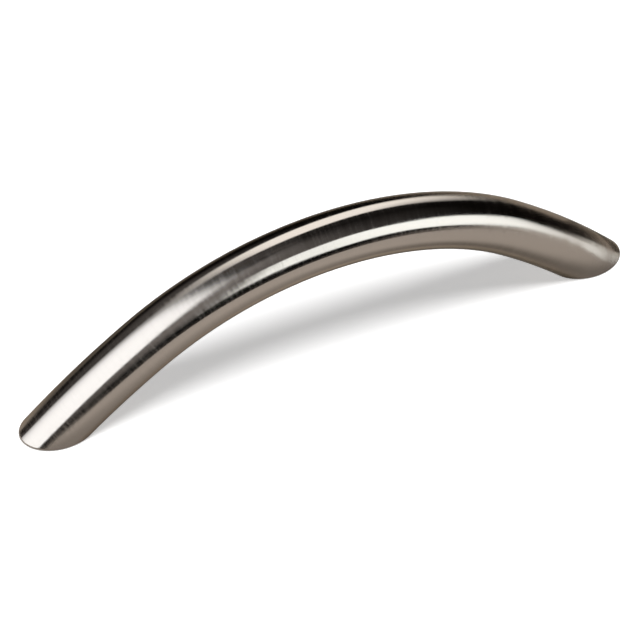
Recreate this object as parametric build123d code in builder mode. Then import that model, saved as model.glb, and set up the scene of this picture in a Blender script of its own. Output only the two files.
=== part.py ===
from build123d import *

import math
import os

# Bow handle for a cabinet door or a drawer: one round bar, bent to a bow, with both feet cut flat
# in one plane and tapped for screws that come through the door from behind.
#
# The origin lies on the door's face, midway between the feet. X runs along the handle from foot to
# foot, Y across the bar, and Z away from the door. Lengths are in millimetres, angles in degrees.

# Bar
bar_diameter = 10.0

# Bow
hole_centres = 96.0  # between the two screws, a standard spacing of cabinet hardware
hole_inset = 3.4  # from where the bar's centreline meets the door, inwards to the screw
projection = 30.9  # from the door's face to the top of the bar
leg_angle = 45.2  # between the centreline and the door's face at each foot
flank_angle = 8.6  # that each leg turns through in a shallow bend, before the tighter crown

# Feet
foot_edge_radius = 0.4  # easing round the cut edge of each foot

# Tapped holes, drilled square to the door for an M4 thread
tap_drill_diameter = 3.3
countersink_diameter = 4.4
countersink_angle = 90.0
drill_point_angle = 118.0
metal_over_hole = 1.7  # from the end of the drilled wall up to the skin of the bar


# The centreline is three tangent arcs, a shallow one up each leg and a tighter one over the crown.
# Half of it rises from the foot to the crown and runs from the foot to the middle:
#   half_span   = crown_radius * run_of_crown   + flank_radius * run_of_flank
#   centre_rise = crown_radius * rise_of_crown  + flank_radius * rise_of_flank
# The two lines are solved for the two radii, so the bow always meets its span and its projection.
bar_radius = bar_diameter / 2
half_span = hole_centres / 2 + hole_inset
centre_rise = projection - bar_radius
crown_angle = leg_angle - flank_angle

leg_sine = math.sin(math.radians(leg_angle))
leg_cosine = math.cos(math.radians(leg_angle))
run_of_crown = math.sin(math.radians(crown_angle))
run_of_flank = leg_sine - run_of_crown
rise_of_crown = 1 - math.cos(math.radians(crown_angle))
rise_of_flank = 1 - leg_cosine - rise_of_crown

determinant = run_of_crown * rise_of_flank - rise_of_crown * run_of_flank
crown_radius = (half_span * rise_of_flank - centre_rise * run_of_flank) / determinant
flank_radius = (centre_rise * run_of_crown - half_span * rise_of_crown) / determinant

# The bar is bent over-long, and the straight ends below the door's face are cut away.
end_allowance = bar_diameter / math.tan(math.radians(leg_angle))

# The skin over a screw is the outside of the flank's arc, at the side of the hole nearer the toe,
# where it is lowest. The drilled wall stops short of it by the metal that is left over the hole.
tap_drill_radius = tap_drill_diameter / 2
flank_centre_x = half_span - flank_radius * leg_sine
flank_centre_z = -flank_radius * leg_cosine
hole_toe_side = hole_centres / 2 + tap_drill_radius
skin_radius = flank_radius + bar_radius
skin_height = flank_centre_z + math.sqrt(skin_radius**2 - (hole_toe_side - flank_centre_x) ** 2)
hole_depth = skin_height - metal_over_hole
drill_point_length = tap_drill_radius / math.tan(math.radians(drill_point_angle / 2))

# Seen from the door, looking up into the feet
door_side = Plane(origin=(0, 0, 0), x_dir=(1, 0, 0), z_dir=(0, 0, -1))


with BuildPart() as bow_handle:
    # Centreline, from the over-long end of the left leg to that of the right leg
    with BuildLine(Plane.XZ) as bow:
        left_end = Line(
            (-half_span - end_allowance * leg_cosine, -end_allowance * leg_sine),
            (-half_span, 0),
        )
        left_flank = JernArc(left_end @ 1, left_end % 1, flank_radius, -flank_angle)
        crown = JernArc(left_flank @ 1, left_flank % 1, crown_radius, -2 * crown_angle)
        right_flank = JernArc(crown @ 1, crown % 1, flank_radius, -flank_angle)
        Line(right_flank @ 1, right_flank @ 1 + (right_flank % 1) * end_allowance)

    # Round bar along it
    with BuildSketch(Plane(origin=bow.line @ 0, z_dir=bow.line % 0)):
        Circle(bar_radius)
    sweep()

    # Feet, cut flat in the plane of the door's face, with their sharp edges eased
    split(bisect_by=Plane.XY, keep=Keep.TOP)
    fillet(bow_handle.faces().sort_by(Axis.Z)[:2].edges(), foot_edge_radius)

    # Tapped hole in each foot, with its countersink and the point that the drill leaves
    with Locations(door_side):
        with GridLocations(hole_centres, 0, 2, 1):
            CounterSinkHole(
                tap_drill_radius,
                countersink_diameter / 2,
                hole_depth,
                countersink_angle,
            )
            with Locations((0, 0, -hole_depth - drill_point_length / 2)):
                Cone(0, tap_drill_radius, drill_point_length, mode=Mode.SUBTRACT)

bow_handle.part.label = "bow_handle"

os.makedirs("parts", exist_ok=True)
export_step(bow_handle.part, "parts/bow_handle.step")

print(f"crown radius {crown_radius:.2f}, flank radius {flank_radius:.2f}")
print(f"drilled wall {hole_depth:.2f} deep, drill point {drill_point_length:.2f}")
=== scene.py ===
# %% [markdown]
# A bow handle for a cabinet door: one round bar of nickel-plated steel, bent to a bow, with both
# feet cut flat and tapped for screws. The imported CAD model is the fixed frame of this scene. It
# holds the true sizes, and this script gives the handle its finish, its threads and its studio.

# %% Load the frame
import math

import bpy
import numpy as np
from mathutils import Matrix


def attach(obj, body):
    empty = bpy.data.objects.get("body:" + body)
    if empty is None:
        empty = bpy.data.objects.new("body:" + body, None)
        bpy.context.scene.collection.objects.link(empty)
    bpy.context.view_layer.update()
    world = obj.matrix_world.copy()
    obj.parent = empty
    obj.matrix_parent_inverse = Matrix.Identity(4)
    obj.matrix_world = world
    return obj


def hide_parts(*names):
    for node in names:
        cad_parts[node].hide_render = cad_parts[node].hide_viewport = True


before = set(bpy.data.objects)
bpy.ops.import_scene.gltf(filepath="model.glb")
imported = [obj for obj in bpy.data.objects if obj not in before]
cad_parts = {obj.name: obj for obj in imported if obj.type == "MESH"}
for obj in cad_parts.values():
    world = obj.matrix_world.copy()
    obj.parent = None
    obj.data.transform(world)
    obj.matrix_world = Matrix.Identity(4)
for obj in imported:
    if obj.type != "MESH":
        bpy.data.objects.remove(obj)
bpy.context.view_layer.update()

# %% [markdown]
# Sizes come first. The bar and the bow have the same measures as in the CAD model, in metres here.
# The bow is three arcs that run smoothly into each other: a shallow bend up each leg and a tighter
# one over the crown. The two radii follow from the span and the height, so the ends always meet
# the door at the right place.

# %% Sizes of the bar and its bow
MM = 0.001

bar_radius = 5.0 * MM
handle_height = 30.9 * MM
hole_centres = 96.0 * MM
hole_inset = 3.4 * MM
half_span = hole_centres / 2 + hole_inset
centre_rise = handle_height - bar_radius
leg_angle = math.radians(45.2)
flank_bend = math.radians(8.6)
crown_bend = leg_angle - flank_bend
edge_radius = 0.4 * MM


def bow_radii():
    """Radii of crown and flank, from two sums: the runs of both arcs add up to half the span,
    and their rises add up to the height of the centreline."""
    runs = (math.sin(crown_bend), math.sin(leg_angle) - math.sin(crown_bend))
    rises = (1 - math.cos(crown_bend), math.cos(crown_bend) - math.cos(leg_angle))
    return np.linalg.solve([runs, rises], [half_span, centre_rise])


crown_radius, flank_radius = bow_radii()
flank_length = flank_radius * flank_bend
bow_length = 2 * (flank_length + crown_radius * crown_bend)
print(f"radii {crown_radius / MM:.2f} mm over the crown and {flank_radius / MM:.2f} mm on the flanks")
print(f"centreline {bow_length / MM:.1f} mm long")

# %% [markdown]
# A round bar is a circle carried along the bow's line. It could be made as a curve with a bevel,
# but then its feet can't be cut and eased cleanly. So the line is written as a function of the
# distance travelled along it, and each point of the skin as a function of that distance and of
# the angle round the bar.

# %% The bow's line and the skin of the bar


def bow_line(travelled):
    """Point and outward direction on the centreline, as x and z, at a distance from the left
    foot. The heading falls from the leg's angle by distance over radius along each arc, and the
    point is the arc's centre plus its radius times the outward direction. Below the door's face
    the line runs on straight. The right half is the left half mirrored."""
    near = np.minimum(travelled, bow_length - travelled)
    side = np.where(travelled > bow_length / 2, -1.0, 1.0)
    on_flank = leg_angle - near / flank_radius
    on_crown = crown_bend - (near - flank_length) / crown_radius
    heading = np.select([near < 0, near < flank_length], [leg_angle, on_flank], on_crown)
    radius = np.where(near < flank_length, flank_radius, crown_radius)
    flank_x = flank_radius * math.sin(leg_angle) - half_span
    centre_x = np.where(near < flank_length, flank_x, 0.0)
    centre_z = centre_rise - crown_radius
    centre_z = np.where(near < flank_length, -flank_radius * math.cos(leg_angle), centre_z)
    out_x, out_z = -np.sin(heading), np.cos(heading)
    before = np.minimum(near, 0)
    x = centre_x + radius * out_x + before * math.cos(leg_angle)
    z = centre_z + radius * out_z + before * math.sin(leg_angle)
    return side * x, z, side * out_x, out_z


def skin(travelled, turn, radius):
    """Points at a radius round the centreline. Turn 0 is the inside of the bow, under the
    crown, and half a turn is its outside: the point is the centreline plus radius times the
    outward direction's share and the Y direction's share."""
    x, z, out_x, out_z = bow_line(travelled)
    outwards = -radius * np.cos(turn)
    across = radius * np.sin(turn) * np.ones_like(travelled)
    return np.stack([x + outwards * out_x, across, z + outwards * out_z], axis=-1)


crown_top = skin(np.array([bow_length / 2]), math.pi, bar_radius)[0]
print(f"skin over the crown {crown_top[2] / MM:.2f} mm above the door")

# %% [markdown]
# Each foot is sawn and ground flat where it sits on the door, and its edge is eased a little so it
# doesn't mark the paint. A small ball that rolls between the skin and the door's plane draws that
# edge: it touches the skin straight out from the bar's line, and the door straight below.

# %% The eased edge of a foot


def cut_line(turn, radius, height):
    """Distance travelled at which a line along the bar reaches a height over the door. On the
    straight end it is the height left to climb over the leg's sine. On the flank the line is a
    circle of its own, and the height over its radius is the cosine of the heading."""
    outwards = -radius * np.cos(turn)
    straight = (height - outwards * math.cos(leg_angle)) / math.sin(leg_angle)
    lift = height + flank_radius * math.cos(leg_angle)
    heading = np.arccos(lift / (flank_radius + outwards))
    return np.where(straight < 0, straight, (leg_angle - heading) * flank_radius)


columns = 96
turns = np.linspace(0, 2 * math.pi, columns, endpoint=False)
left_cut = cut_line(turns, bar_radius - edge_radius, edge_radius)


def eased_edge(share):
    """Ring on the rolled edge, from the skin at share 0 to the sole at share 1. The ball's
    centre runs on a thinner bar cut one edge radius above the door, and the touching direction
    swings evenly from the skin's own to straight down."""
    centre = skin(left_cut, turns, bar_radius - edge_radius)
    from_skin = (skin(left_cut, turns, bar_radius) - centre) / edge_radius
    down = np.array([0.0, 0.0, -1.0])
    swing = np.arccos(np.clip(from_skin @ down, -1, 1))[:, None]
    direction = np.sin((1 - share) * swing) * from_skin + np.sin(share * swing) * down
    return centre + edge_radius * direction / np.sin(swing)


foot = eased_edge(1.0)
print(f"foot {np.ptp(foot[:, 0]) / MM:.1f} mm long and {np.ptp(foot[:, 1]) / MM:.1f} mm wide")

# %% [markdown]
# A screw comes through the door from behind, so each foot has a blind hole with an M4 thread. The
# CAD model keeps the plain drilled wall. Here the thread is cut into it: a right-handed groove,
# 0.7 mm from turn to turn, with flanks at 60 degrees, that runs out where the tap was stopped.

# %% The tapped hole
tap_drill_radius = 1.65 * MM
countersink_radius = 2.2 * MM
pitch = 0.7 * MM
thread_depth = 0.35 * MM
root_flat = pitch / 8
flank_angle = math.radians(60)
flank_slope = math.tan(flank_angle / 2)
wall_end = 6.91 * MM
drill_point = 0.99 * MM
thread_end = 6.3 * MM
run_out = 1.4 * MM


def hole_ring(radius, height):
    """Ring round the axis of the left screw hole, square to the door."""
    x = -hole_centres / 2 + radius * np.cos(turns)
    y = radius * np.sin(turns)
    return np.stack([x, y, np.full(columns, height)], axis=-1)


def tapped_ring(height, mirrored):
    """Ring of the tapped wall at one height. The groove's middle climbs one pitch in a turn, so
    its distance from the ring is a triangle wave of height over pitch less the share of a turn.
    The depth is what the sloping flanks leave, and it runs out to nothing at the thread's end.
    Near the door the ring lies on the countersink, where that is wider. The right foot's ring is
    mirrored later, so there the turn counts the other way."""
    angle = turns if not mirrored else math.pi - turns
    wave = (height / pitch - angle / (2 * math.pi)) % 1.0
    off_middle = np.abs(wave - 0.5) * pitch
    half_groove = root_flat / 2 + thread_depth * flank_slope
    depth = np.clip((half_groove - off_middle) / flank_slope, 0, thread_depth)
    left_to_run = np.clip((thread_end - height) / run_out, 0, 1)
    cut = tap_drill_radius + depth * left_to_run
    return hole_ring(np.maximum(cut, countersink_radius - height), height)


print(f"{thread_end / pitch:.0f} turns of thread, hole {(wall_end + drill_point) / MM:.1f} mm deep")

# %% [markdown]
# The whole handle is one closed sheet of rings: down out of the left hole, over the sole and its
# edge, along the bar, and up into the right hole. One list of rings makes one mesh without a seam.
# Each ring also keeps its distance along the surface, which the brush lines need later.

# %% Rings of a foot, from the drill's point out to the skin
wall_rings = 165
edge_rings = 10
point_shares = (0.0, 0.5)
sole_shares = (0.97, 0.6, 0.3, 0.04)
point_run = 1.0 * MM


def sole_ring(share):
    """Ring on the flat sole: a mix of the edge's foot and the rim of the screw hole."""
    return (1 - share) * eased_edge(1.0) + share * hole_ring(countersink_radius, 0.0)


def foot_rings(mirrored):
    """Rings of one foot as three lists: points, distance along the surface, and whether the
    ring lies on the flat sole."""
    rings, along, on_sole = [], [], []

    def add(points, distance, flat=False):
        rings.append(points)
        along.append(np.broadcast_to(distance, (columns,)))
        on_sole.append(flat)

    for share in point_shares:
        height = wall_end + (1 - share) * drill_point
        add(hole_ring(share * tap_drill_radius, height), share * point_run)
    for height in np.linspace(wall_end, 0, wall_rings):
        add(tapped_ring(height, mirrored), 2 * point_run + wall_end - height)
    for share in sole_shares:
        add(sole_ring(share), 0.0, flat=True)
    for share in np.linspace(1, 0, edge_rings):
        add(eased_edge(share), left_cut - share * edge_radius)
    return rings, along, on_sole


left_rings, left_along, left_on_sole = foot_rings(False)
right_rings, right_along, right_on_sole = foot_rings(True)
print(f"{len(left_rings)} rings in each foot")

# %% [markdown]
# Between the feet the rings stand evenly along the bar, with two more close to each end, where the
# eased edge turns into the skin. The right foot's rings are mirrored. Their thread is made turning
# the other way first, because a mirror makes a left-handed thread of a right-handed one.

# %% Rings of the whole handle
bar_steps = 300
near_ends = np.array([0.0008, 0.002])


def mirror_ring(points):
    """The same ring on the other foot."""
    return points * np.array([-1.0, 1.0, 1.0])


right_cut = bow_length - left_cut
shares = np.linspace(0, 1, bar_steps + 1)[1:-1]
shares = np.sort(np.concatenate([shares, near_ends, 1 - near_ends]))
bar_along = [left_cut + share * (right_cut - left_cut) for share in shares]
bar_rings = [skin(travelled, turns, bar_radius) for travelled in bar_along]

rings = left_rings + bar_rings + [mirror_ring(ring) for ring in reversed(right_rings)]
points = np.array(rings)
along = np.array(left_along + bar_along + [bow_length - distance for distance in reversed(right_along)])
is_sole = np.array(left_on_sole + [False] * len(bar_rings) + right_on_sole[::-1])
print(f"{len(points)} rings of {columns} points")

# %% [markdown]
# The rings are joined into faces with whole arrays of indices. The two end rings shrink to single
# points, so their faces are triangles, and the sheet is closed.

# %% Faces between the rings


def ring_faces(count):
    """Corner indices of all quads between neighbouring rings, as rows of four."""
    ring, column = np.meshgrid(np.arange(count - 1), np.arange(columns), indexing="ij")
    after = (column + 1) % columns
    corners = [ring * columns + column, (ring + 1) * columns + column]
    corners += [(ring + 1) * columns + after, ring * columns + after]
    return np.stack(corners, axis=-1)


def closed_mesh(name, points, uv, carried):
    """Mesh of a closed stack of rings whose first and last ring are single points. Points are
    counted ring by ring, and all points of an end ring share one number."""
    count = len(points)
    quads = ring_faces(count)
    last = (count - 1) * columns
    number = np.arange(count * columns)
    number[:columns] = 0
    number[last:] = last
    kept, renumbered = np.unique(number, return_inverse=True)
    quads = renumbered.reshape(-1)[quads]
    start, middle, end = quads[0], quads[1:-1].reshape(-1, 4), quads[-1]
    start_uv, middle_uv, end_uv = uv[0], uv[1:-1].reshape(-1, 4, 2), uv[-1]
    loops = np.concatenate([start[:, :3].ravel(), middle.ravel(), end[:, [0, 1, 3]].ravel()])
    loop_uv = np.concatenate([start_uv[:, :3].reshape(-1, 2), middle_uv.reshape(-1, 2),
                              end_uv[:, [0, 1, 3]].reshape(-1, 2)])
    sizes = np.concatenate([np.full(len(start), 3), np.full(len(middle), 4), np.full(len(end), 3)])
    mesh = bpy.data.meshes.new(name)
    mesh.vertices.add(len(kept))
    mesh.vertices.foreach_set("co", points.reshape(-1, 3)[kept].astype(np.float32).ravel())
    mesh.loops.add(len(loops))
    mesh.loops.foreach_set("vertex_index", loops.astype(np.int32))
    mesh.polygons.add(len(sizes))
    starts = np.concatenate([[0], np.cumsum(sizes)[:-1]])
    mesh.polygons.foreach_set("loop_start", starts.astype(np.int32))
    mesh.update(calc_edges=True)
    layer = mesh.uv_layers.new(name="brush_map")
    layer.uv.foreach_set("vector", loop_uv.astype(np.float32).ravel())
    place = mesh.attributes.new("brush_place", "FLOAT_VECTOR", "POINT")
    place.data.foreach_set("vector", carried.reshape(-1, 3)[kept].astype(np.float32).ravel())
    mesh.validate()
    return mesh


print(f"{(len(points) - 1) * columns} faces to make")

# %% [markdown]
# The UV map measures metres along and round the bar, and the gloss spreads along its first
# direction. An attribute carries the same place in three numbers, the distance along the bar and a
# point on a circle, so that the brush lines close round the bar. The soles are ground in one
# direction, so there both are the plain x and y of the door. Edges are marked sharp by angle, at
# the countersink and the thread, and everything else is shaded smooth.

# %% The brush map and the finished handle
sharp_angle = math.radians(28)


def corner_values(grid):
    """Values of a grid with one more column than points, at the four corners of each quad."""
    return np.stack([grid[:-1, :-1], grid[1:, :-1], grid[1:, 1:], grid[:-1, 1:]], axis=2)


def signed_volume(mesh):
    """Sum over all triangles of a sixth of the box product of their corners. It is positive
    when the faces point outwards."""
    mesh.calc_loop_triangles()
    corners = np.empty(len(mesh.loop_triangles) * 3, np.int32)
    mesh.loop_triangles.foreach_get("vertices", corners)
    co = np.empty(len(mesh.vertices) * 3, np.float32)
    mesh.vertices.foreach_get("co", co)
    a, b, c = co.reshape(-1, 3).astype(float)[corners.reshape(-1, 3)].transpose(1, 0, 2)
    return float((a * np.cross(b, c)).sum() / 6)


sole_quads = is_sole[:-1] | is_sole[1:]
wrapped = np.concatenate([points, points[:, :1]], axis=1)
around = np.linspace(0, 2 * math.pi * bar_radius, columns + 1)
skin_uv = np.stack([np.concatenate([along, along[:, :1]], axis=1),
                    np.broadcast_to(around, (len(points), columns + 1))], axis=-1)
flat_uv = wrapped[..., :2]
uv = np.where(sole_quads[:, None, None, None], corner_values(flat_uv), corner_values(skin_uv))

round_place = np.stack([along, np.broadcast_to(bar_radius * np.cos(turns), along.shape),
                        np.broadcast_to(bar_radius * np.sin(turns), along.shape)], axis=-1)
flat_place = points * np.array([1.0, 1.0, 0.0])
carried = np.where(is_sole[:, None, None], flat_place, round_place)

handle_mesh = closed_mesh("bow_handle_bar", points, uv, carried)
if signed_volume(handle_mesh) < 0:
    handle_mesh.flip_normals()
handle_mesh.shade_smooth()
handle_mesh.set_sharp_from_angle(angle=sharp_angle)
handle = bpy.data.objects.new("bow_handle_bar", handle_mesh)
bpy.context.scene.collection.objects.link(handle)

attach(handle, "root")
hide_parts("bow_handle")
print(f"{len(handle_mesh.loop_triangles)} triangles, {signed_volume(handle_mesh) / MM**3:.0f} cubic mm")

# %% [markdown]
# Colours are written as sRGB hex values, as a paint chart gives them. Blender's shaders work in
# linear light, so one function turns them over. One small function adds every node.

# %% Helpers for materials


def linear(hex_colour):
    """Linear red, green, blue and alpha of an sRGB hex colour: below 0.04045 the value over
    12.92, above it the value plus 0.055 over 1.055, raised to 2.4."""
    value = np.array([int(hex_colour[i:i + 2], 16) for i in (1, 3, 5)]) / 255
    light = np.where(value <= 0.04045, value / 12.92, ((value + 0.055) / 1.055) ** 2.4)
    return (*light.tolist(), 1.0)


def add_node(tree, kind, inputs=None, **settings):
    """Adds a node. Settings are its own values, and inputs gives each socket a value or the
    output that is linked to it."""
    node = tree.nodes.new(kind)
    for name, value in settings.items():
        setattr(node, name, value)
    for name, value in (inputs or {}).items():
        if isinstance(value, bpy.types.NodeSocket):
            tree.links.new(value, node.inputs[name])
        else:
            node.inputs[name].default_value = value
    return node


def new_material(name):
    """An empty material with its output node."""
    material = bpy.data.materials.new(name)
    material.use_nodes = True
    material.node_tree.nodes.clear()
    output = add_node(material.node_tree, "ShaderNodeOutputMaterial")
    return material, material.node_tree, output


print("mid grey in linear light", round(linear("#808080")[0], 3))

# %% [markdown]
# The finish is satin nickel: a warm grey plate over steel, brushed with a fine belt while the bar
# turns, so hairlines run round the bar. Each hairline is a tiny ridge across the bar's length. It
# spreads a reflection along the bar and leaves it crisp across. Anisotropic gloss does that: the
# roughness is large along the UV map's first direction and small along the second. The plate's
# colours are matched to the handle, and are darker than polished nickel.
#
# A 240 grit belt leaves lines 0.05 to 0.1 mm apart, too fine for this picture. Noise rises and
# falls about once in two of its cells, so cells of 0.1 mm draw lines 0.2 mm apart, and cells of
# 0.2 mm draw a second set, where the belt dug in a little. Deep lines are rougher than the others:
# they pick up light from further along the bar, which shows as fine streaks where a bright
# reflection ends. The two noises add up to values round 1, mostly between 0.7 and 1.3.

# %% Brushed nickel
nickel_colour = "#998D82"
nickel_dark = "#94897E"
nickel_edge = "#B2ABA2"
shallow_roughness = 0.08
deep_roughness = 0.235
anisotropy = 0.9
fine_cell = 0.10 * MM
fine_length = 7.0 * MM
fine_detail = 2.0
coarse_cell = 0.20 * MM
coarse_length = 14.0 * MM
coarse_detail = 3.0
detail_strength = 0.6
ridge_height = 0.006 * MM
lines_low, lines_deep, lines_high = 0.7, 0.8, 1.3


def brush_lines(tree, place, cell, length, detail):
    """Noise stretched into lines: the place along the bar is divided by the size of the noise's
    cells, and the place round it by the lines' length."""
    stretch = (1 / cell, 1 / length, 1 / length)
    stretched = add_node(tree, "ShaderNodeVectorMath", {0: place, 1: stretch}, operation="MULTIPLY")
    noise = add_node(tree, "ShaderNodeTexNoise", {
        "Vector": stretched.outputs[0], "Scale": 1.0, "Detail": detail, "Roughness": detail_strength})
    return noise.outputs["Fac"]


nickel, tree, output = new_material("brushed_nickel")
place = add_node(tree, "ShaderNodeAttribute", attribute_name="brush_place").outputs["Vector"]
fine_lines = brush_lines(tree, place, fine_cell, fine_length, fine_detail)
coarse_lines = brush_lines(tree, place, coarse_cell, coarse_length, coarse_detail)
lines = add_node(tree, "ShaderNodeMath", {0: coarse_lines, 1: fine_lines}, operation="ADD").outputs[0]
colour_share = add_node(tree, "ShaderNodeMapRange", {
    "Value": lines, "From Min": lines_low, "From Max": lines_high})
colour = add_node(tree, "ShaderNodeMix", {
    "Factor": colour_share.outputs[0], "A": linear(nickel_dark), "B": linear(nickel_colour)},
    data_type="RGBA")
rough = add_node(tree, "ShaderNodeMapRange", {
    "Value": lines, "From Min": lines_deep, "From Max": lines_high,
    "To Min": shallow_roughness, "To Max": deep_roughness})
bump = add_node(tree, "ShaderNodeBump", {"Height": lines, "Distance": ridge_height, "Strength": 1.0})
tangent = add_node(tree, "ShaderNodeTangent", direction_type="UV_MAP", uv_map="brush_map")
metal = add_node(tree, "ShaderNodeBsdfPrincipled", {
    "Base Color": colour.outputs[2], "Metallic": 1.0, "Roughness": rough.outputs[0],
    "Anisotropic": anisotropy, "Specular Tint": linear(nickel_edge), "Tangent": tangent.outputs[0],
    "Normal": bump.outputs[0]})
tree.links.new(metal.outputs[0], output.inputs["Surface"])
handle_mesh.materials.append(nickel)
print(f"brushed nickel, roughness {shallow_roughness} to {deep_roughness}")

# %% [markdown]
# In the photograph the handle stands on plain white, with one soft shadow under the bow. The floor
# is matt and pale. A part of its white is a glow that only the camera and reflections see, so that
# the background is clean white and the lamp stays at a plain level. The shadow still falls on the
# matt part. Far out, where the lamp's light falls off, the glow alone makes the floor white.

# %% White floor
floor_matt = "#F8F8F8"
floor_glow = 0.437
glow_near = 0.4
glow_far = 1.8
floor_half = 3.0


def seen_rays(tree):
    """One where a ray comes from the camera, a reflection or through glass, else zero."""
    path = add_node(tree, "ShaderNodeLightPath").outputs
    both = add_node(tree, "ShaderNodeMath", {0: path["Is Camera Ray"], 1: path["Is Glossy Ray"]},
                    operation="ADD", use_clamp=True)
    return add_node(tree, "ShaderNodeMath", {0: both.outputs[0], 1: path["Is Transmission Ray"]},
                    operation="ADD", use_clamp=True).outputs[0]


floor_white, tree, output = new_material("matt_white_floor")
matt = add_node(tree, "ShaderNodeBsdfDiffuse", {"Color": linear(floor_matt)})
place = add_node(tree, "ShaderNodeTexCoord").outputs["Object"]
far = add_node(tree, "ShaderNodeVectorMath", {0: place}, operation="LENGTH").outputs["Value"]
glow_level = add_node(tree, "ShaderNodeMapRange", {
    "Value": far, "From Min": glow_near, "From Max": glow_far, "To Min": floor_glow, "To Max": 1.0})
glow_strength = add_node(tree, "ShaderNodeMath", {0: seen_rays(tree), 1: glow_level.outputs[0]},
                         operation="MULTIPLY")
glow = add_node(tree, "ShaderNodeEmission", {"Strength": glow_strength.outputs[0]})
both = add_node(tree, "ShaderNodeAddShader", {0: matt.outputs[0], 1: glow.outputs[0]})
tree.links.new(both.outputs[0], output.inputs["Surface"])
floor_white.cycles.emission_sampling = "NONE"

floor_mesh = bpy.data.meshes.new("floor")
corners = [(-floor_half, -floor_half, 0), (floor_half, -floor_half, 0),
           (floor_half, floor_half, 0), (-floor_half, floor_half, 0)]
floor_mesh.from_pydata(corners, [], [(0, 1, 2, 3)])
floor_mesh.materials.append(floor_white)
floor = bpy.data.objects.new("floor", floor_mesh)
bpy.context.scene.collection.objects.link(floor)
print(f"floor {2 * floor_half:.0f} m wide, white by its glow alone from {glow_far} m out")

# %% [markdown]
# Satin metal shows the studio, not itself, so the cards round it draw its bright and dark bands.
# The handle stands in a dark tent with three glowing cards: a wide one at its left, a strip behind
# and above it, and a strip in front at the right. Only reflections see them. They are bands between
# two heights, given at a few compass points, and their edges fade out as those of a soft box do.

# %% Shapes of the hanging cards


def between(stations, count):
    """Values at evenly spread places along a card, on straight lines between its stations. One
    array for each number that a station has."""
    place = np.linspace(0, 1, count)
    at = np.linspace(0, 1, len(stations))
    return [np.interp(place, at, values)[None, :] for values in zip(*stations)]


def rise(value, width):
    """Smooth step from 0 at value 0 to 1 at a width."""
    share = np.clip(value / width, 0, 1)
    return share * share * (3 - 2 * share)


def hung_card(stations, distance, columns=97, rows=33):
    """Points and glow of a card that hangs round the handle. Each station gives a compass angle,
    counted from behind the handle, clockwise from above, the card's lower and upper elevation
    there, its glow, and over how many degrees the glow fades in from each of the two edges. A
    point is the distance times the direction of both angles."""
    compass, low, high, glow, fade_low, fade_high = between(stations, columns)
    share = np.linspace(0, 1, rows)[:, None]
    height = low + share * (high - low)
    azimuth, elevation = np.radians(compass), np.radians(height)
    direction = np.stack([np.sin(azimuth) * np.cos(elevation), np.cos(azimuth) * np.cos(elevation),
                          np.sin(elevation) * np.ones_like(azimuth)], axis=-1)
    return distance * direction, glow * rise(height - low, fade_low) * rise(high - height, fade_high)


print("a card's edge fades in steps of", rise(np.linspace(0, 1, 5), 1.0).round(2))

# %% [markdown]
# The cards are silk over lamps, black felt, and a dark sheet of painted shade. All are one kind of
# glow here. Where a card's edge fades, the glow is mixed with nothing, so what hangs behind it shows
# through. The silk's light is blue nearly as far as the nickel is yellow, since the bright bands on
# the handle in the photograph are almost neutral. The left card is the brightest.

# %% Silk of the glowing cards
left_strength = 4.3
front_strength = 4.1
back_strength = 3.2
left_colour = "#E2F0FF"
front_colour = "#E4F4FF"
back_colour = "#F0F8FF"


def card_material(name, hex_colour, strength):
    """Glow of one colour and strength, which thins out to nothing where the card's glow
    attribute falls from one to zero."""
    material, tree, output = new_material(name)
    share = add_node(tree, "ShaderNodeAttribute", attribute_name="card_glow").outputs["Fac"]
    glow = add_node(tree, "ShaderNodeEmission", {"Color": linear(hex_colour), "Strength": strength})
    clear = add_node(tree, "ShaderNodeBsdfTransparent")
    mix = add_node(tree, "ShaderNodeMixShader", {0: share, 1: clear.outputs[0], 2: glow.outputs[0]})
    tree.links.new(mix.outputs[0], output.inputs["Surface"])
    return material


left_silk = card_material("left_silk", left_colour, left_strength)
front_silk = card_material("front_silk", front_colour, front_strength)
back_silk = card_material("back_silk", back_colour, back_strength)
print("strengths of the silks", left_strength, front_strength, back_strength)

# %% [markdown]
# Each card is a grid of faces that hangs about half a metre from the handle. The left card draws
# the broad band up the left leg, the one behind draws the thin upper band, and the one in front
# draws the band over the crown that runs down to the right.

# %% The three glowing cards
silk_distance = 0.50
back_distance = 0.55


def put_up(name, card, material):
    """Puts a card up as a grid mesh that only reflections see."""
    surface, glow = card
    rows, across = surface.shape[:2]
    row, column = np.meshgrid(np.arange(rows - 1), np.arange(across - 1), indexing="ij")
    first = (row * across + column).ravel()
    quads = np.stack([first, first + 1, first + across + 1, first + across], axis=-1)
    mesh = bpy.data.meshes.new(name)
    mesh.from_pydata(surface.reshape(-1, 3).tolist(), [], quads.tolist())
    shine = mesh.attributes.new("card_glow", "FLOAT", "POINT")
    shine.data.foreach_set("value", glow.astype(np.float32).ravel())
    mesh.materials.append(material)
    piece = bpy.data.objects.new(name, mesh)
    bpy.context.scene.collection.objects.link(piece)
    piece.visible_camera = False
    piece.visible_diffuse = False
    piece.visible_transmission = False
    piece.visible_shadow = False
    print(f"{name}: {len(quads)} faces")


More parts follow.
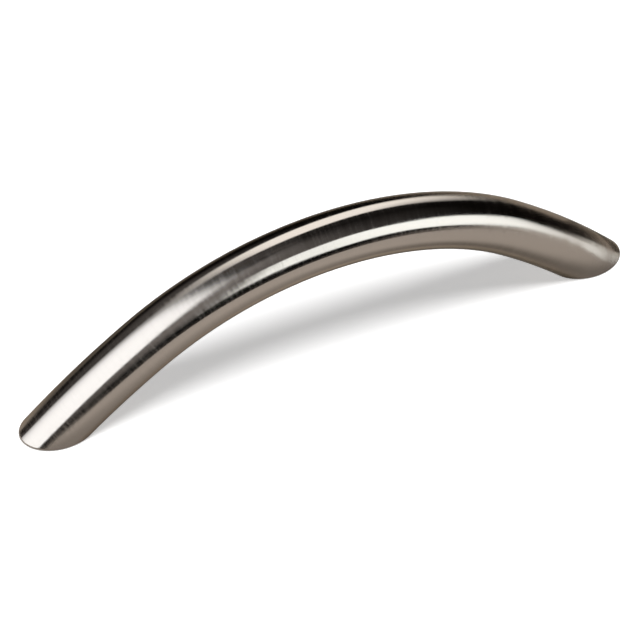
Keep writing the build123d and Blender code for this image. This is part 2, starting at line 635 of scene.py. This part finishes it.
left_stations = [
    (-142, 44, 60, 0, 6, 15), (-139, 33, 61, 0.5, 8, 21), (-136, 23, 63, 0.88, 8, 20),
    (-133, 15, 66, 1, 7, 18), (-130, 7, 67, 1, 6, 17), (-127, 0, 68, 1, 4, 16),
    (-120, 0, 69, 1, 1, 17), (-107, 0, 70, 1, 1, 17), (-95, 0, 69, 1, 1, 17),
    (-82, 0, 66, 0.95, 1, 17), (-71, 0, 63, 0.82, 4, 16), (-65, 2, 61, 0.62, 6, 14),
    (-60.5, 6, 60, 0.43, 8, 14), (-57, 16, 59, 0.28, 10, 14), (-52, 26, 59, 0.17, 12, 14),
    (-45, 32, 58, 0.1, 12, 12), (-39, 38, 56, 0, 10, 10)]
put_up("left_card", hung_card(left_stations, silk_distance), left_silk)

back_stations = [
    (-64, 42, 60, 0, 6, 10), (-45, 37, 63, 0.22, 10, 10), (-30, 34, 66, 0.37, 10, 8),
    (-15, 34.5, 69, 0.76, 9, 6), (0, 35, 70, 1.06, 7, 5), (10, 33.5, 69, 1.2, 6, 5),
    (20, 30, 68, 1.25, 6, 5), (28, 22, 65.5, 1.2, 8, 5), (34, 12, 63, 1.1, 16, 5),
    (40, 0, 59, 1, 24, 5), (47, 0, 53, 0.75, 18, 6), (53, 2, 46, 0.52, 20, 7),
    (57, 4, 40, 0.28, 22, 8), (61.5, 8, 36, 0.09, 20, 8), (66, 8, 30, 0, 10, 8)]
put_up("back_card", hung_card(back_stations, back_distance), back_silk)

front_stations = [
    (95, -3, 14, 0, 2, 2), (101, -3, 18, 0.7, 3, 2), (110, -2, 24, 0.93, 4, 2),
    (119, 1, 31, 1, 4, 2), (126, 2.5, 34.5, 1, 3, 2), (133, 3.7, 36, 1, 2, 1.5),
    (140, 7, 39.5, 1, 1, 1.5), (150, 12.9, 44, 1, 1, 1.5), (160, 12, 45.6, 0.9, 1, 1.5),
    (169, 16.3, 45.6, 0.78, 1, 1.5), (176, 18.5, 47, 1.14, 1, 1.5), (181, 19.5, 47, 1.3, 1, 1.5),
    (183.8, 20, 46.5, 0.95, 1, 1.5), (185.8, 20, 46, 0.35, 1, 1.5), (187.5, 20, 46, 0, 1, 1.5)]
put_up("front_card", hung_card(front_stations, silk_distance), front_silk)

# %% [markdown]
# Black cards that stand on the floor draw the dark lines between the bands: a long one in front,
# which bends round the left foot, a low one behind, and a high one off the right foot. White
# strips beside the right foot light the foot's tip, and two low black ones keep its back dark.

# %% Black cards, and strips at the right foot
# Black of the felt cards and the tent, and of the painted shade sheet under the bow.
black_felt_and_painted_shade = "#141312"


def standing_card(stations, columns=97):
    """Points and glow of a card that stands on the floor. Each station gives x, y and the card's
    height there, in millimetres, and its glow."""
    x, y, top, glow = between(stations, columns)
    foot = np.stack([x, y, np.full_like(x, -1.0)], axis=-1)
    head = np.stack([x, y, top], axis=-1)
    return np.concatenate([foot, head]) * MM, np.concatenate([glow, glow])


# This black material is used for the felt cards, and it also paints shade on the sheet under the bow.
black_card_and_painted_shade = card_material("black_card_and_painted_shade", black_felt_and_painted_shade, 1.0)
front_black = [(-90, -30, 10, 0.6), (-72, -38, 12, 0.8), (-62, -50, 17, 0.94), (-54, -72, 26, 0.96),
               (-48, -105, 38, 0.96), (-38, -148, 50, 0.96), (0, -190, 60, 0.96), (45, -190, 60, 0.96),
               (100, -165, 50, 0.9), (135, -140, 40, 0.5), (165, -110, 40, 0)]
put_up("front_black_card", standing_card(front_black), black_card_and_painted_shade)
back_black = [(-150, 90, 28, 0.94), (-90, 110, 28, 0.94), (-40, 125, 30, 0.94), (20, 140, 34, 0.94),
              (60, 125, 30, 0.94), (85, 98, 22, 0.8), (100, 75, 10, 0)]
put_up("back_black_card", standing_card(back_black), black_card_and_painted_shade)
right_black = [(100, 92, 18, 0.1), (112, 80, 22, 0.4), (124, 64, 40, 0.5), (128, 55, 120, 0.95),
               (131, 42, 160, 0.98), (130, 10, 120, 0.98), (128, -15, 40, 0)]
put_up("right_black_card", standing_card(right_black), black_card_and_painted_shade)
foot_black = [(56, 11, 3, 0), (60, 12.5, 3.5, 0.5), (68, 17, 3.5, 0.7), (80, 20, 5.5, 0.85),
              (86, 12, 8, 0.85), (92, 5, 8, 0.75), (95, 1, 6, 0)]
put_up("right_foot_card", standing_card(foot_black), black_card_and_painted_shade)
foot_white = [(96, 5, 6, 0.08), (93, -2, 6, 0.54), (84, -8, 6, 0.57), (72, -10.5, 6, 0.56),
              (65, -10, 6, 0.54), (60, -9, 6, 0)]
put_up("right_foot_strip", standing_card(foot_white), front_silk)
tip_black = [(54.5, 6.8, 2.4, 0), (57.5, 4.8, 2.3, 0.6), (59.8, 2.4, 2, 0.65), (60.6, 0.4, 1.6, 0.75),
             (60.6, -1, 1.3, 0.7), (60.5, -1.4, 1, 0)]
put_up("right_tip_card", standing_card(tip_black), black_card_and_painted_shade)
tip_white = [(60.5, -1.1, 1, 0), (60.3, -1.7, 1.3, 0.15), (59.2, -3.4, 1.6, 0.15), (57.5, -5.2, 1.2, 0)]
put_up("right_tip_strip", standing_card(tip_white), front_silk)

# %% [markdown]
# A dark sheet lies under the bow, seen by reflections alone. It is painted shade: it darkens the
# underside of the bar towards its own shadow, as shade on the floor would. How dark it is, is what
# the glow attribute of a card holds. The painted shade is light nearly all over, and darker under
# the legs than in the middle. It is darker still along a band in front of the bow, all over the
# space behind the bow, and in a spot beside the right foot, and it is lighter in a spot further
# back.

# %% Painted shade on the floor
shade_sheet_reach = 0.35
shade_sheet_lift = 0.04 * MM
shade_sheet_fade = 0.4 * shade_sheet_reach
straight_share = 0.15
plain_painted_shade = 0.245
leg_painted_shade = 0.04
leg_start, leg_run = 15, 25
back_painted_shade = 0.45
back_start, back_run = 4, 30
back_end, back_end_run = 70, 60
foot_painted_shade = 0.38
foot_middle, foot_width = (72, 14), (15, 5)
lifted_painted_shade = 0.16
lifted_middle, lifted_width = (72, 46), (16, 16)
most_painted_shade = 0.88
shade_band_line = [(-52, -5), (-35, -6), (-20, -11), (0, -16), (15, -14), (30, -10), (45, -7), (55, -5)]
shade_band_depth = [(-90, 0), (-52, 0.30), (-20, 0.22), (0, 0.27), (30, 0.42), (55, 0.40), (90, 0)]
shade_band_front = [(-52, 10), (-20, 18), (0, 18), (30, 8), (45, 6)]
shade_band_back = [(-52, 3), (-20, 6), (0, 6), (30, 4.5), (45, 4)]


def along_bow(x, stations):
    """Value at x in millimetres, on straight lines between stations of x and value."""
    return np.interp(x, *zip(*stations))


def spot(x, y, middle, width):
    """One in the middle of a spot and nearly nothing two widths off: e to the minus square of
    the distance, which is counted in widths."""
    return np.exp(-((x - middle[0]) / width[0]) ** 2 - ((y - middle[1]) / width[1]) ** 2)


def painted_shade_layout(columns=181):
    """Points of the painted shade sheet and how dark it is, with x and y in millimetres. Across the
    band, the painted shade falls off as a spot's does, with one width in front and one behind. A grid
    line's place is the reach times a mix of its share and the share's cube, so the lines lie closest
    in the middle."""
    place = np.linspace(-1, 1, columns)
    across = shade_sheet_reach * (straight_share * place + (1 - straight_share) * place**3)
    x, y = np.meshgrid(across / MM, across / MM)
    off_shade_band = y - along_bow(x, shade_band_line)
    shade_band_width = np.where(off_shade_band < 0, along_bow(x, shade_band_front), along_bow(x, shade_band_back))
    # Painted shade is built up here, darkest where shade falls on the floor near the bar.
    shade_depth = plain_painted_shade + leg_painted_shade * rise(np.abs(x) - leg_start, leg_run)
    shade_depth += along_bow(x, shade_band_depth) * np.exp(-(off_shade_band / shade_band_width) ** 2)
    shade_depth += back_painted_shade * rise(y - back_start, back_run) * rise(back_end - x, back_end_run)
    shade_depth += foot_painted_shade * spot(x, y, foot_middle, foot_width)
    shade_depth -= lifted_painted_shade * spot(x, y, lifted_middle, lifted_width)
    from_edge = shade_sheet_reach - np.maximum(np.abs(x), np.abs(y)) * MM
    sheet = np.stack([x * MM, y * MM, np.full_like(x, shade_sheet_lift)], axis=-1)
    return sheet, np.clip(shade_depth, 0, most_painted_shade) * rise(from_edge, shade_sheet_fade)


# Painted shade: a dark sheet that darkens the floor near the handle as reflections see it.
put_up("painted_shade_sheet", painted_shade_layout(), black_card_and_painted_shade)

# %% [markdown]
# The tent is black, and a grey lining hangs just inside it. The lining is lightest in front, where
# the camera stands, and darkest at the right and behind the handle. Both close overhead. Where the
# lining's upper edge is given just past straight up, it doesn't fade there.

# %% Dark tent and its lining
lining_grey = "#CDD0D6"
lining_strength = 0.86
tent_distance = 0.92
lining_distance = 0.90

tent_black = card_material("tent_black", black_felt_and_painted_shade, 1.0)
tent_grey = card_material("tent_grey", lining_grey, lining_strength)
tent_stations = [(-180, -6, 90, 1, 0.1, 0.1), (180, -6, 90, 1, 0.1, 0.1)]
put_up("dark_tent", hung_card(tent_stations, tent_distance), tent_black)
lining_stations = [
    (-180, 6, 90.1, 0.56, 24, 0.1), (-170, 4, 89, 0.6, 26, 20), (-160, 2, 88, 0.85, 28, 24),
    (-150, -4, 88, 0.9, 32, 24), (-140, -5, 88, 0.75, 30, 24), (-120, 0, 88, 0.28, 10, 24),
    (-100, 0, 90.1, 0.22, 10, 0.1), (-80, 0, 90.1, 0.2, 10, 0.1), (-40, -4, 90.1, 0.24, 20, 0.1),
    (-20, -4, 90.1, 0.28, 28, 0.1), (0, 10, 90.1, 0.16, 30, 0.1), (20, 20, 90.1, 0.06, 30, 0.1),
    (80, 20, 90.1, 0.02, 30, 0.1), (120, 20, 90.1, 0.09, 30, 0.1), (140, 20, 90.1, 0.16, 30, 0.1),
    (160, 12, 90.1, 0.38, 30, 0.1), (180, 6, 90.1, 0.56, 24, 0.1)]
put_up("tent_lining", hung_card(lining_stations, lining_distance), tent_grey)

# %% [markdown]
# One lamp hangs over the handle, a little to the front, so its shadow falls just behind the
# middle of the bow. It is small enough that the shadow keeps its shape. Its power is pi squared
# times the square of its distance, which is the plain level at which white paint renders white.
# Its own reflection would be a bright line on the crown, which the photograph hasn't got, so
# reflections don't see it.

# %% Lamp
lamp_height = 3.0
lamp_forward = 0.58
lamp_size = 1.3
lamp_level = 1.0

lamp_data = bpy.data.lights.new("overhead_lamp", "AREA")
lamp_data.shape = "DISK"
lamp_data.size = lamp_size
lamp_distance = math.hypot(lamp_height, lamp_forward)
lamp_data.energy = lamp_level * math.pi**2 * lamp_distance**2
lamp = bpy.data.objects.new("overhead_lamp", lamp_data)
lamp.location = (0.0, -lamp_forward, lamp_height)
lamp.rotation_euler = (-math.atan2(lamp_forward, lamp_height), 0, 0)
lamp.visible_glossy = False
bpy.context.scene.collection.objects.link(lamp)
print(f"lamp of {lamp_data.energy:.0f} W at {lamp_distance:.2f} m")

# %% [markdown]
# The world round the studio is plain white to the camera and to reflections, so the background
# stays white above the floor's far edge too. To matt surfaces it gives only a little light, as
# white walls far off do, which keeps the shadow from going black.

# %% World
wall_white = "#FFFFFF"
fill_level = 0.08

world = bpy.data.worlds.new("white_studio")
bpy.context.scene.world = world
world.use_nodes = True
tree = world.node_tree
tree.nodes.clear()
white_or_fill = add_node(tree, "ShaderNodeMapRange", {
    "Value": seen_rays(tree), "To Min": fill_level, "To Max": 1.0})
background = add_node(tree, "ShaderNodeBackground", {
    "Color": linear(wall_white), "Strength": white_or_fill.outputs[0]})
add_node(tree, "ShaderNodeOutputWorld", {"Surface": background.outputs[0]})
print("world gives matt surfaces a level of", fill_level)

# %% [markdown]
# The camera stands in front of the handle, to its left and well above it, turned a little on its
# own axis. A long lens keeps the bar's thickness nearly the same from foot to foot, as in the
# photograph.

# %% Camera
camera_azimuth = math.radians(-28.2785)
camera_elevation = math.radians(47.573)
camera_roll = math.radians(3.887)
camera_distance = 633.93 * MM
camera_aim = np.array([-4.412, -4.96, 12.336]) * MM
camera_lens = 208.07
sensor_width = 36.0

back = np.array([math.sin(camera_azimuth) * math.cos(camera_elevation),
                 -math.cos(camera_azimuth) * math.cos(camera_elevation), math.sin(camera_elevation)])
sideways = np.cross(-back, [0, 0, 1])
sideways /= np.linalg.norm(sideways)
upright = np.cross(back, sideways)
right = math.cos(camera_roll) * sideways + math.sin(camera_roll) * upright
up = np.cross(back, right)

camera_data = bpy.data.cameras.new("camera")
camera_data.lens = camera_lens
camera_data.sensor_width = sensor_width
camera = bpy.data.objects.new("camera", camera_data)
turned = np.eye(4)
turned[:3, 0], turned[:3, 1], turned[:3, 2] = right, up, back
turned[:3, 3] = camera_aim + back * camera_distance
camera.matrix_world = turned.T
bpy.context.scene.collection.objects.link(camera)
bpy.context.scene.camera = camera
bpy.context.scene.view_settings.view_transform = "Standard"
print("camera at", [round(v, 4) for v in turned[:3, 3]])
